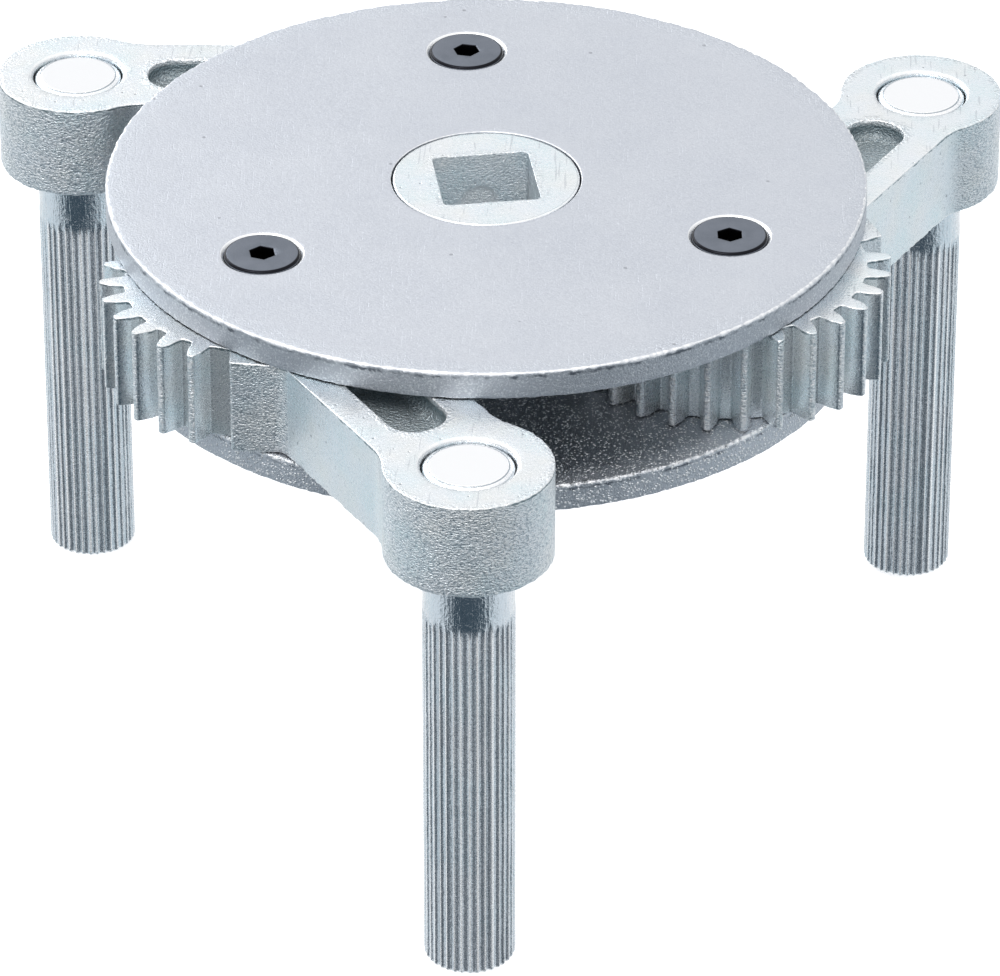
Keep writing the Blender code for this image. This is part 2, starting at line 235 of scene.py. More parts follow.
def tooth(teeth, shift):
    """One tooth about angle zero as (radius, angle) points, from its right root to its left one."""
    pitch_r = MODULE * teeth / 2
    base_r = pitch_r * math.cos(PRESSURE_ANGLE)
    tip_r = pitch_r + (1 + shift) * MODULE
    root_r = pitch_r - (1 + ROOT_CLEARANCE - shift) * MODULE
    thickness = MODULE * (math.pi / 2 + 2 * shift * math.tan(PRESSURE_ANGLE)) - BACKLASH / 2
    half = thickness / (2 * pitch_r) + involute(PRESSURE_ANGLE)

    root_angle = -half - 0.012
    side = [polar(root_r, root_angle - ROOT_ROUND / root_r)]
    side += fillet(side[0], polar(root_r, root_angle), polar(base_r, -half), ROOT_ROUND)
    last_r = tip_r - TIP_ROUND
    for i in range(6):
        radius = base_r + (last_r - base_r) * i / 5
        side.append(polar(radius, involute(math.acos(base_r / radius)) - half))
    tip_angle = involute(math.acos(base_r / tip_r)) - half
    side += [polar(tip_r - TIP_ROUND * 0.3, tip_angle + TIP_ROUND * 0.1 / tip_r)]
    side += [polar(tip_r, tip_angle + TIP_ROUND / tip_r)]
    return side + [(x, -y) for x, y in reversed(side)]


def teeth_outline(teeth, shift, first, count):
    points = []
    one = np.array(tooth(teeth, shift))
    for i in range(count):
        points += [tuple(point) for point in turned_by(one, first + i * math.tau / teeth)]
    return points


def sun_phase(first_pivot):
    """The angle of a sun tooth that meshes with the arm on the first pivot."""
    pitch = math.tau / ARM_TEETH
    offset = (TOOTH_PHASE - math.pi + ARM_SWING) % pitch
    along = MODULE * math.pi / 2 - offset * MODULE * ARM_TEETH / 2
    return first_pivot + along / (MODULE * SUN_TEETH / 2)


def arm_outline(reach):
    drop = NECK_HALF + BOSS_FILLET
    run = math.sqrt((BOSS_R + BOSS_FILLET) ** 2 - drop**2)
    lean = math.atan2(drop, -run)
    upper = arc((reach, 0), BOSS_R, 0, lean)
    upper += arc((reach - run, drop), BOSS_FILLET, lean - math.pi, -math.pi / 2)[1:]
    land_start = polar(LAND_R, LAND_ANGLE)
    upper += fillet((reach, NECK_HALF), (LAND_END_X, NECK_HALF), land_start, LAND_FILLET)
    root_r = MODULE * ARM_TEETH / 2 - (1 + ROOT_CLEARANCE + PROFILE_SHIFT) * MODULE
    root = polar(root_r, LAND_ANGLE + LAND_TO_ROOT)
    upper += fillet(upper[-1], land_start, root, LAND_CORNER)
    lower = [(x, -y) for x, y in reversed(upper[1:])]
    first = TOOTH_PHASE - SECTOR_TEETH * math.tau / ARM_TEETH
    teeth = teeth_outline(ARM_TEETH, -PROFILE_SHIFT, first, SECTOR_TEETH)
    return refined(upper + [root] + teeth + [(root[0], -root[1])] + lower)


# ---------------------------------------------------------------- unevenness

def smooth(t):
    t = np.clip(t, 0, 1)
    return t * t * (3 - 2 * t)


def uneven(count, low, high, seed, reach=2):
    """One value for each point of a closed ring, wandering between two bounds."""
    rng = np.random.default_rng(seed)
    fine = rng.random(count)
    for _ in range(reach):
        fine = (np.roll(fine, 1) + 2 * fine + np.roll(fine, -1)) / 4
    knots = rng.random(max(4, count // 12))
    where = np.arange(count) * len(knots) / count
    coarse = np.interp(where, np.arange(len(knots) + 1), np.append(knots, knots[0]))
    mixed = np.clip(0.5 + (fine - 0.5) * 2.2 + (coarse - 0.5) * 0.6, 0, 1)
    return low + (high - low) * mixed


def jagged(count, low, high, seed):
    """One unrelated value for each point of a ring."""
    return np.random.default_rng(seed).uniform(low, high, count)


def ripple(points, size, seed):
    """Smooth noise from -1 to 1 at points in space, with bumps of about a size."""
    shift = Vector((seed * 7.31, seed * 3.17, seed * 5.77))
    return np.array([noise.noise(Vector(point) / size + shift) for point in points])


# ---------------------------------------------------------------- meshes

class Skin:
    """A closed mesh put together from rings of points.

    Each point has an amount of wear and painted light, from -1 for painted shade to 1 for bright metal,
    which is partly rubbed metal and partly a painted highlight (on the black screws a high amount is
    painted shade instead), and of roughness, which is 1 where the skin is forged or sheared, or where
    a leg is fluted."""

    def __init__(self):
        self.points = []
        self.wear_and_painted_light = []
        self.rough = []
        self.faces = []
        self.count = 0

    def ring(self, flat, height, wear_and_painted_light=0.0, rough=0.0):
        """Adds a closed ring at a height, or at one height for each point; returns its numbers."""
        n = len(flat)
        heights = np.broadcast_to(height, n)
        self.points.append(np.column_stack([flat, heights]))
        self.wear_and_painted_light.append(np.broadcast_to(wear_and_painted_light, n))
        self.rough.append(np.broadcast_to(rough, n))
        self.count += n
        return np.arange(self.count - n, self.count)

    def bridge(self, one, two):
        self.faces += np.stack([one, np.roll(one, -1), np.roll(two, -1), two], 1).tolist()

    def wall(self, rings):
        for one, two in zip(rings, rings[1:]):
            self.bridge(one, two)

    def fill(self, outer, holes, height, spacing, lift=0.0, seed=0, wear_and_painted_light=0.0, rough=0.0):
        """A flat face inside one ring and outside others, with points of its own between them."""
        points = np.concatenate(self.points)
        loops = [points[ring][:, :2] for ring in [outer, *holes]]
        low, high = loops[0].min(0), loops[0].max(0)
        xs = np.arange(low[0], high[0], spacing)
        ys = np.arange(low[1], high[1], spacing * TRIANGLE_ROW)
        grid = np.array([(x + spacing / 2 * (j % 2), y) for j, y in enumerate(ys) for x in xs])
        keep = inside(grid, loops[0])
        for loop in loops[1:]:
            keep &= ~inside(grid, loop)
        grid = grid[keep]
        for loop in loops:
            nearest = np.min([np.hypot(*(grid - point).T) for point in loop[::2]], axis=0)
            grid = grid[nearest > spacing * 0.6]
        numbers = np.concatenate([outer, *holes])
        if len(grid):
            top = height + lift * ripple(np.column_stack([grid, np.zeros(len(grid))]), 4 * MM, seed)
            numbers = np.concatenate([numbers, self.ring(grid, top, wear_and_painted_light, rough)])
        flat = np.concatenate([*loops, grid]) / MM
        sides = []
        start = 0
        for loop in loops:
            sides += [(start + i, start + (i + 1) % len(loop)) for i in range(len(loop))]
            start += len(loop)
        made = geometry.delaunay_2d_cdt([Vector(point) for point in flat], sides, [], 1, 1e-7)
        middles = np.array([np.mean([made[0][corner][:] for corner in face], 0) for face in made[2]])
        keep = inside(middles, loops[0] / MM)
        for loop in loops[1:]:
            keep &= ~inside(middles, loop / MM)
        for face, kept in zip(made[2], keep):
            if kept:
                self.faces.append([int(numbers[made[3][corner][0]]) for corner in face])

    def build(self, name, material, place, turn=0.0):
        """The piece, turned about the vertical and standing at a place in the plan."""
        mesh = bpy.data.meshes.new(name)
        mesh.from_pydata(np.concatenate(self.points).tolist(), [], self.faces)
        work = bmesh.new()
        work.from_mesh(mesh)
        bmesh.ops.recalc_face_normals(work, faces=work.faces)
        work.to_mesh(mesh)
        work.free()
        mesh.transform(Matrix.Rotation(turn, 4, "Z"))
        for label, values in (("wear_and_painted_light", self.wear_and_painted_light), ("rough", self.rough)):
            layer = mesh.attributes.new(label, "FLOAT", "POINT")
            layer.data.foreach_set("value", np.concatenate(values).astype(np.float32))
        mesh.materials.append(material)
        mesh.shade_smooth()
        piece = bpy.data.objects.new(name, mesh)
        piece.location = (place[0], place[1], 0)
        bpy.context.scene.collection.objects.link(piece)
        even = piece.modifiers.new("even_normals", "WEIGHTED_NORMAL")
        even.weight = 80
        return piece


def inside(points, loop):
    """Which points lie inside a closed path."""
    result = np.zeros(len(points), bool)
    x, y = points[:, 0], points[:, 1]
    for (x0, y0), (x1, y1) in zip(loop, np.roll(loop, -1, 0)):
        if y0 != y1:
            result ^= ((y0 > y) != (y1 > y)) & (x < (x1 - x0) * (y - y0) / (y1 - y0) + x0)
    return result


def edged_wall(skin, outline, top, bottom, top_edge, bottom_edge, side=1, push=None, rows=None,
               rough=0.0, margins=(), under_edge_shade=0.0, band=0.3 * MM, shade=None, shine=1.0, crease=0.0):
    """A wall under a flat face, with a rounded edge at both ends. side is -1 round a hole.

    Push gives how far each point moves outward, and shade what is added to the wear and painted light
    of the wall. The margins are rings in both faces, at distances from the rounding. The under-edge
    shade is painted shade, lying in spots in a band just under the upper edge. Shine is how bright the
    roundings are painted, partly as rubbed metal and partly as a painted highlight, and crease is what
    is painted on the line where the upper one starts, painted shade where it is set. Returns the rings
    that the two faces start from."""
    normals = outward(outline) * side
    n = len(outline)
    # The roundings are painted bright at random from point to point, partly as rubbed metal and partly
    # as a painted highlight.
    bright = shine * jagged(n, 0.45, 1, n)
    quarter = [math.pi / 2 * i / EDGE_STEPS for i in range(EDGE_STEPS + 1)]
    steps = [(top, top_edge + margin, 0.0) for margin in sorted(margins, reverse=True)]
    steps += [(top - top_edge * (1 - math.cos(a)), top_edge * (1 - math.sin(a)),
               min(1, 1.5 * math.sin(2 * a)) * bright if a else crease) for a in quarter]
    upper = top - np.max(top_edge)
    lower = bottom + np.max(bottom_edge)
    count = rows or max(2, math.ceil((upper - lower) / ROW))
    # A band of painted shade, in spots, just under the upper edge.
    if under_edge_shade:
        patches = uneven(n, 0, 2.2 * under_edge_shade, n + 3, reach=3)
        steps += [(upper - 0.1 * band, 0.0, -patches * jagged(n, 0.4, 1, n + 1))]
        steps += [(upper - 0.5 * band, 0.0, -patches * jagged(n, 0.0, 0.9, n + 2))]
        steps += [(upper - band, 0.0, 0.0)]
        upper -= band
    steps += [(upper + (lower - upper) * i / count, 0.0, 0.0) for i in range(1, count)]
    steps += [(bottom + bottom_edge * (1 - math.cos(a)), bottom_edge * (1 - math.sin(a)),
               0.7 * math.sin(2 * a) * bright) for a in reversed(quarter)]
    steps += [(bottom, bottom_edge + margin, 0.0) for margin in sorted(margins)]
    rings = []
    for height, inset, wear_and_painted_light in steps:
        flat = outline - normals * np.reshape(inset, (-1, 1))
        place = np.column_stack([flat, np.broadcast_to(height, n)])
        if push is not None:
            flat = flat + normals * push(place)[:, None]
        on_wall = np.max(inset) == 0
        worn_and_shaded = wear_and_painted_light + shade(place) if shade and on_wall else wear_and_painted_light
        rings.append(skin.ring(flat, height, worn_and_shaded, rough if on_wall else 0.5 * np.asarray(rough)))
    skin.wall(rings)
    return rings[0], rings[-1]


# ---------------------------------------------------------------- materials

class Nodes:
    """Shader nodes of one tree."""

    def __init__(self, tree):
        self.tree = tree

    def node(self, kind, inputs=(), **settings):
        made = self.tree.nodes.new(kind)
        for key, value in settings.items():
            setattr(made, key, value)
        for key, value in dict(inputs).items():
            if isinstance(value, bpy.types.NodeSocket):
                self.tree.links.new(value, made.inputs[key])
            else:
                made.inputs[key].default_value = value
        return made

    def between(self, value, low, high, out_low=0.0, out_high=1.0):
        made = self.node("ShaderNodeMapRange", {
            "Value": value, "From Min": low, "From Max": high, "To Min": out_low, "To Max": out_high})
        return made.outputs["Result"]

    def joined(self, one, two, operation="ADD"):
        """The sum of two values, or the result of another operation on them."""
        return self.node("ShaderNodeMath", {0: one, 1: two}, operation=operation).outputs[0]

    def mixed(self, factor, one, two):
        """Two colours blended; each is a socket or three numbers."""
        made = self.node("ShaderNodeMix", data_type="RGBA")
        for index, value in ((0, factor), (6, one), (7, two)):
            if isinstance(value, bpy.types.NodeSocket):
                self.tree.links.new(value, made.inputs[index])
            else:
                made.inputs[index].default_value = (*value, 1)
        return made.outputs[2]


class Metal(Nodes):
    """A metal whose colour, roughness and relief come from noise in the piece's own space."""

    def __init__(self, name, seed):
        self.material = bpy.data.materials.new(name)
        self.material.use_nodes = True
        super().__init__(self.material.node_tree)
        self.shader = self.tree.nodes["Principled BSDF"]
        self.shader.inputs["Metallic"].default_value = 1.0
        place = self.node("ShaderNodeTexCoord").outputs["Object"]
        moved = self.node("ShaderNodeMapping", {"Vector": place, "Location": (seed, seed / 3, 0)})
        self.place = moved.outputs["Vector"]

    def stretched(self, scale, turn=0.0):
        turned = self.node("ShaderNodeMapping", {
            "Vector": self.place, "Scale": scale, "Rotation": (0, 0, turn)})
        return turned.outputs["Vector"]

    def noise(self, size, detail=2.0, vector=None):
        """Noise from 0 to 1 with features of about a size."""
        made = self.node("ShaderNodeTexNoise", {
            "Vector": vector or self.place, "Scale": 1 / size, "Detail": detail, "Roughness": 0.6})
        return made.outputs["Fac"]

    def cells(self, size, vector=None):
        made = self.node("ShaderNodeTexVoronoi", {"Vector": vector or self.place, "Scale": 1 / size})
        return made.outputs["Distance"]

    def attribute(self, name):
        return self.node("ShaderNodeAttribute", attribute_name=name).outputs["Fac"]

    def finish(self, colour, roughness, height, depth):
        """Joins colour, roughness and a height between 0 and 1, of a depth, to the shader."""
        self.tree.links.new(colour, self.shader.inputs["Base Color"])
        self.tree.links.new(roughness, self.shader.inputs["Roughness"])
        bump = self.node("ShaderNodeBump", {"Height": height, "Distance": depth})
        self.tree.links.new(bump.outputs["Normal"], self.shader.inputs["Normal"])
        return self.material


def plate_steel(name, seed, relief, grit_and_glints):
    """Tumbled satin steel: an even grey with fine grain, faint clouds, a few dents and light hairlines.

    Where the rough attribute is 1 it has the dull, coarse skin of a sheared rim. The grit is the
    height of small grains, as a share of the relief; the grains are also painted near white as glints."""
    m = Metal(name, seed)
    grain = m.noise(0.26 * MM, 2)
    dust = m.noise(0.4 * MM, 1)
    specks = m.noise(0.27 * MM, 2)
    clouds = m.noise(12 * MM, 3)
    dents = m.between(m.cells(6.5 * MM), 0.03, 0.055, 1, 0)
    hairs = m.between(m.noise(0.22 * MM, 0, m.stretched((1, 0.05, 1), 0.6)), 0.70, 0.76)
    wear_and_painted_light = m.attribute("wear_and_painted_light")
    skin = m.attribute("rough")

    colour = m.mixed(m.between(clouds, 0.3, 0.7), (0.580, 0.608, 0.664), (0.635, 0.660, 0.708))
    colour = m.mixed(m.between(grain, 0.3, 0.7, 0, 0.6), colour, (0.72, 0.745, 0.79))
    colour = m.mixed(m.between(dust, 0.28, 0.40, 0.3, 0), colour, (0.50, 0.52, 0.57))
    colour = m.mixed(m.between(skin, 0, 1, 0, 0.45), colour, (0.42, 0.45, 0.49))
    glint = m.joined(skin, m.between(specks, 0.52, 0.64, 0, 0.6), "MULTIPLY")
    colour = m.mixed(glint, colour, (0.90, 0.92, 0.94))
    colour = m.mixed(m.between(dents, 0, 1, 0, 0.55), colour, (0.28, 0.29, 0.32))
    # Rubbed metal and painted highlights are brighter, painted shade darker.
    colour = m.mixed(m.between(wear_and_painted_light, 0.2, 0.9, 0, 1), colour, (0.97, 0.98, 0.99))
    colour = m.mixed(m.between(wear_and_painted_light, -0.9, -0.1, 0.9, 0), colour, (0.14, 0.16, 0.19))
    rough = m.joined(m.between(grain, 0.3, 0.7, 0.32, 0.44), m.between(skin, 0, 1, 0, 0.2))
    grains_and_glints = m.joined(m.between(m.cells(0.66 * MM), 0.10, 0.32, grit_and_glints, 0),
                      m.between(m.cells(0.42 * MM), 0.08, 0.34, grit_and_glints, 0))
    # The grains are painted near white as glints.
    colour = m.mixed(m.between(grains_and_glints, 0.1, 0.4, 0, 0.9), colour, (0.97, 0.98, 0.99))
    height = m.joined(m.between(grain, 0, 1, 0, 0.7), grains_and_glints)
    height = m.joined(height, m.between(hairs, 0, 1, 0, 0.12), "SUBTRACT")
    height = m.joined(height, m.between(dents, 0, 1, 0, 0.6), "SUBTRACT")
    height = m.joined(height, m.between(skin, 0, 1, 1, RIM_RELIEF / relief), "MULTIPLY")
    return m.finish(colour, rough, height, relief)


def zinc(name, seed):
    """Bright zinc over steel: smooth and bluish where plain, pebbled where the forged skin is."""
    m = Metal(name, seed)
    skin = m.attribute("rough")
    wear_and_painted_light = m.attribute("wear_and_painted_light")
    fine = m.noise(0.24 * MM, 2)
    pebbles = m.noise(0.40 * MM, 2, m.stretched((1, 1, 1.6)))
    clouds = m.noise(4.5 * MM, 3)
    tints = m.noise(7 * MM, 1)
    pits = m.between(m.cells(2.2 * MM), 0.05, 0.10, 1, 0)
    scratches = m.between(m.noise(0.3 * MM, 0, m.stretched((1, 0.07, 1), 0.9)), 0.72, 0.78)

    colour = m.mixed(m.between(tints, 0.38, 0.62), (0.72, 0.85, 0.88), (0.85, 0.87, 0.85))
    colour = m.mixed(m.between(clouds, 0.35, 0.65, 0, 0.7), colour, (0.83, 0.88, 0.93))
    colour = m.mixed(m.between(fine, 0.34, 0.66, 0, 0.7), colour, (0.94, 0.95, 0.97))
    dark = m.joined(m.between(skin, 0, 1, 0.10, 1), m.between(pebbles, 0.32, 0.53, 0.8, 0), "MULTIPLY")
    colour = m.mixed(dark, colour, (0.36, 0.43, 0.49))
    glint = m.joined(skin, m.between(pebbles, 0.58, 0.66, 0, 0.8), "MULTIPLY")
    colour = m.mixed(glint, colour, (0.985, 0.99, 0.995))
    colour = m.mixed(m.between(pits, 0, 1, 0, 0.55), colour, (0.35, 0.38, 0.42))
    colour = m.mixed(m.between(scratches, 0, 1, 0, 0.45), colour, (0.5, 0.53, 0.57))
    # Rubbed metal and painted highlights near white; painted shade dark teal.
    colour = m.mixed(m.between(wear_and_painted_light, 0.2, 0.9, 0, 0.9), colour, (0.985, 0.99, 0.995))
    colour = m.mixed(m.between(wear_and_painted_light, -0.9, -0.1, 0.9, 0), colour, (0.13, 0.19, 0.215))
    rough = m.between(fine, 0.3, 0.7, 0.22, 0.34)
    rough = m.joined(rough, m.between(skin, 0, 1, 0, 0.1))
    relief = m.joined(m.between(pebbles, 0.3, 0.7), m.between(skin, 0, 1, 0.10, 1.0), "MULTIPLY")
    height = m.joined(relief, m.between(fine, 0, 1, 0, 0.15))
    height = m.joined(height, m.between(pits, 0, 1, 0, 0.3), "SUBTRACT")
    m.tree.links.new(m.between(wear_and_painted_light, -0.15, 0, 0.8, 1), m.shader.inputs["Metallic"])
    return m.finish(colour, rough, height, 0.16 * MM)


def leg_zinc(name, seed):
    """Zinc on a drawn rod: streaks along it, and duller where it is fluted, with ridges painted bright
    as highlights and grooves painted darker as shade.
    """
    m = Metal(name, seed)
    wear_and_painted_light = m.attribute("wear_and_painted_light")
    fluted = m.attribute("rough")
    plain = m.between(wear_and_painted_light, 0.75, 0.9, 1, 0.12)
    streaks = m.noise(0.22 * MM, 2, m.stretched((1, 1, 0.05)))
    specks = m.noise(0.26 * MM, 2)
    tints = m.noise(8 * MM, 1)
    chips = m.between(m.cells(1.6 * MM), 0.05, 0.1, 1, 0)
    colour = m.mixed(m.between(tints, 0.4, 0.6), (0.80, 0.88, 0.92), (0.90, 0.92, 0.95))
    colour = m.mixed(m.between(streaks, 0.30, 0.44, 0.5, 0), colour, (0.55, 0.60, 0.65))
    colour = m.mixed(m.between(specks, 0.35, 0.65, 0, 0.8), colour, (0.97, 0.97, 0.99))
    # Painted shade darker; painted highlights and the smooth pin end near white.
    colour = m.mixed(m.between(wear_and_painted_light, -1, 0, 0.95, 0), colour, (0.27, 0.32, 0.36))
    colour = m.mixed(m.between(wear_and_painted_light, 0.1, 0.8, 0, 1), colour, (0.985, 0.99, 0.995))
    colour = m.mixed(m.between(chips, 0, 1, 0, 0.7), colour, (0.97, 0.98, 0.99))
    rough = m.joined(m.between(specks, 0.3, 0.7, 0.12, 0.24), m.between(fluted, 0, 1, 0, 0.08))
    mottle = m.noise(0.5 * MM, 2)
    height = m.joined(m.between(streaks, 0, 1, 0, 0.5), m.between(specks, 0, 1, 0, 0.45))
    height = m.joined(height, m.between(mottle, 0.2, 0.8, 0, 0.45))
    ridges = m.joined(fluted, m.between(wear_and_painted_light, 0.1, 0.8, 0, 0.34), "MULTIPLY")
    dull = m.joined(m.between(fluted, 0, 1, 0, 0.08), ridges)
    m.tree.links.new(m.joined(1.0, dull, "SUBTRACT"), m.shader.inputs["Metallic"])
    return m.finish(colour, rough, m.joined(height, plain, "MULTIPLY"), 0.12 * MM)


def black_oxide(name, seed):
    m = Metal(name, seed)
    grain = m.noise(0.2 * MM, 2)
    clouds = m.noise(2.5 * MM, 2)
    wear_and_painted_light = m.attribute("wear_and_painted_light")
    colour = m.mixed(m.between(clouds, 0.3, 0.7), (0.165, 0.185, 0.22), (0.20, 0.22, 0.26))
    # Painted shade and dark reflection near black: the hexagon socket and the head's rounded edge.
    colour = m.mixed(m.between(wear_and_painted_light, 0.1, 0.6, 0, 0.97), colour, (0.01, 0.01, 0.013))
    rough = m.between(grain, 0.2, 0.8, 0.26, 0.4)
    return m.finish(colour, rough, grain, 0.02 * MM)


def turned_steel(name, seed):
    m = Metal(name, seed)
    rings = m.noise(0.3 * MM, 2, m.stretched((0.05, 0.05, 1)))
    colour = m.mixed(rings, (0.44, 0.45, 0.46), (0.58, 0.59, 0.60))
    return m.finish(colour, m.between(rings, 0.2, 0.8, 0.25, 0.42), rings, 0.01 * MM)


# ---------------------------------------------------------------- the pieces

def show(piece, node, body):
    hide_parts(node)
    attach(piece, body)


def heights_of(node):
    low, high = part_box(node)
    return low.z, high.z


def middle_of(node):
    low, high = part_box(node)
    return (low + high) / 2


def make_plate(node, screws_up, relief, grit_and_glints, rim_skin, seed):
    """A round plate; its countersinks open upwards or downwards. rim_skin is how coarse its rim is."""
    low, high = heights_of(node)
    skin = Skin()
    radius = (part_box(node)[1].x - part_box(node)[0].x) / 2
    rim = circle(radius)
    top_edge = uneven(len(rim), 0.6 * PLATE_EDGE, 1.5 * PLATE_EDGE, seed, reach=1)
    bottom_edge = uneven(len(rim), 0.3 * PLATE_EDGE, 0.8 * PLATE_EDGE, seed + 1, reach=1)
    # The rim's edges are painted bright, partly as rubbed metal and partly as a painted highlight, with
    # painted shade in a band under the upper edge.
    top, bottom = edged_wall(skin, rim, high, low, top_edge, bottom_edge, rough=rim_skin, under_edge_shade=0.8,
                             band=0.5 * MM, margins=MARGINS)
    bore = circle(HUB_HOLE_R)
    chamfer, plain = (HUB_HOLE_CHAMFER, 0.1 * MM) if screws_up else (0.1 * MM, HUB_HOLE_CHAMFER)
    tops, bottoms = zip(edged_wall(skin, bore, high, low, np.full(len(bore), chamfer),
                                   np.full(len(bore), plain), side=-1, margins=MARGINS))
    tops, bottoms = list(tops), list(bottoms)
    face, down = (high, -1) if screws_up else (low, 1)
    for pivot in pivots:
        place = pivot - axis
        sink = circle(1.0, points=SCREW_POINTS)
        depth = SINK_R - THROUGH_R
        through = high - low
        steps = [(SINK_R + out, 0, 0) for out in (1.4 * MM, 0.5 * MM, 0.08 * MM)]
        # The countersink's upper edge is painted bright as a highlight.
        steps += [(SINK_R - d, d + 0.01 * MM, 1) for d in (0.0, 0.1 * MM, 0.25 * MM)]
        steps += [(SINK_R - depth * t, depth * t, 0) for t in (0.2, 0.5, 1)]
        steps += [(THROUGH_R, through, 0), (THROUGH_R + 0.5 * MM, through, 0)]
        rings = [skin.ring(sink * r + place, face + down * d, wear_and_painted_light) for r, d, wear_and_painted_light in steps]
        skin.wall(rings)
        (tops if screws_up else bottoms).append(rings[0])
        (bottoms if screws_up else tops).append(rings[-1])
    # The bottom plate's inner face, between the plates, is painted darker as shade.
    gap_shade = 0.0 if screws_up else -0.46
    skin.fill(top, tops, high, PLATE_GRID, 0.006 * MM, seed, wear_and_painted_light=gap_shade)
    skin.fill(bottom, bottoms, low, PLATE_GRID, 0.006 * MM, seed + 2)
    piece = skin.build(node + "_shown", plate_steel(node + "_steel", seed, relief, grit_and_glints), axis)
    show(piece, node, "housing")


def make_hub():
    low, high = heights_of("drive_hub")
    gear_low, gear_high = heights_of("gear_arm_1")
    skin = Skin()
    half = SQUARE / 2
    square = rounded_box(half, half, SQUARE_CORNER)

    def dimples(points):
        """How far the socket's walls are set back by the four round detents."""
        along = np.abs(points[:, :2]).min(1)
        away = np.hypot(along, points[:, 2] - (high - DETENT_DOWN))
        return DETENT_DEPTH * smooth((DETENT_R - away) / (0.5 * MM))

    def set_back(points):
        return 0.02 * MM * ripple(points, 1.2 * MM, 3) - dimples(points)

    # Painted light: the socket's walls a little lighter, and the detents' floors near white.
    def bright_dimples(points):
        return np.where(dimples(points) > 0, 1.0, 0.25)

    edge = uneven(len(square), 0.03 * MM, 0.09 * MM, 31, reach=1)
    rows = math.ceil((high - low) / (0.33 * MM))
    # The line where the socket's rounding starts is painted dark as shade.
    socket = edged_wall(skin, square, high, low, edge, edge, side=-1, push=set_back, rows=rows,
                        rough=0.5, shade=bright_dimples, shine=0.0, crease=-0.4, margins=(HUB_MARGIN,))
    shaft = circle(JOURNAL_R)
    chamfer = uneven(len(shaft), 0.8 * JOURNAL_CHAMFER, JOURNAL_CHAMFER, 33)
    sharp = np.zeros(len(shaft))
    # The line where the journal's chamfer starts is painted dark as shade.
    upper = edged_wall(skin, shaft, high, gear_high, chamfer, sharp, crease=-0.6,
                       margins=(HUB_MARGIN,))
    lower = edged_wall(skin, shaft, gear_low, low, sharp, chamfer)
    first_pivot = math.atan2(*(pivots[0] - axis)[::-1])
    teeth = refined(teeth_outline(SUN_TEETH, PROFILE_SHIFT, sun_phase(first_pivot), SUN_TEETH))
    teeth = turned_by(teeth, -SQUARE_TURN)
    lip = uneven(len(teeth), 0.06 * MM, 0.22 * MM, 35, reach=1)
    gear = edged_wall(skin, teeth, gear_high, gear_low, lip, lip, rough=0.3)
    skin.fill(upper[0], [socket[0]], high, HUB_GRID, 0.008 * MM, 1)
    skin.fill(lower[1], [socket[1]], low, HUB_GRID, 0.008 * MM, 2)
    skin.fill(gear[0], [upper[1]], gear_high, GEAR_GRID)
    skin.fill(gear[1], [lower[0]], gear_low, GEAR_GRID)
    piece = skin.build("drive_hub_shown", zinc("hub_zinc", 3), axis, SQUARE_TURN)
    show(piece, "drive_hub", "hub")


